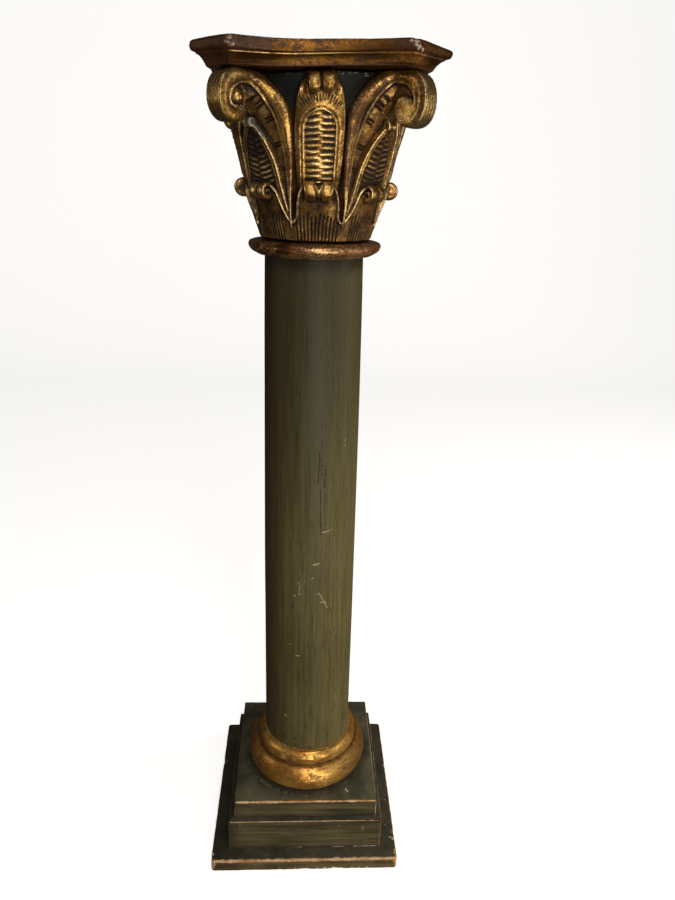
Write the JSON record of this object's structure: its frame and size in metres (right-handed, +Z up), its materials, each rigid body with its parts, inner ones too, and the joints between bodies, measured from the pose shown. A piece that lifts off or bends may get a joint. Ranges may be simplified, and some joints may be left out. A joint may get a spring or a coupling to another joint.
{
  "type": "classical column",
  "caption": "Painted wooden display column on a stepped square plinth, with gilt turned base, plain tapering shaft, carved gilt leaf-and-scroll capital and moulded abacus with cut corners.",
  "frame": {"origin": "centre of the underside of the plinth, on the floor", "axes": "+Z up along the shaft, -Y out of the front of the plinth, +X to the right seen from the front"},
  "size_m": [0.2942, 0.2968, 1.1617],
  "materials": {
    "plinth_paint": "dark green-black paint, satin, worn to bare wood along the edges",
    "shaft_paint": "olive grey paint brushed lengthwise, satin, finely cracked",
    "base_gilding": "antique gilding over red clay, rubbed",
    "ring_gilding": "red-brown clay with rubbed gilding",
    "capital_gilding": "antique gilding over red clay, dark in the hollows",
    "abacus_gilding": "dulled gilding over red-brown clay"
  },
  "bodies": {
    "root": {"plinth_slab": "plinth_paint", "plinth_block": "plinth_paint", "plinth_step": "plinth_paint", "base_moulding": "base_gilding", "shaft": "shaft_paint", "necking_ring": "ring_gilding", "capital": "capital_gilding", "abacus": "abacus_gilding"}
  },
  "joints": []
}
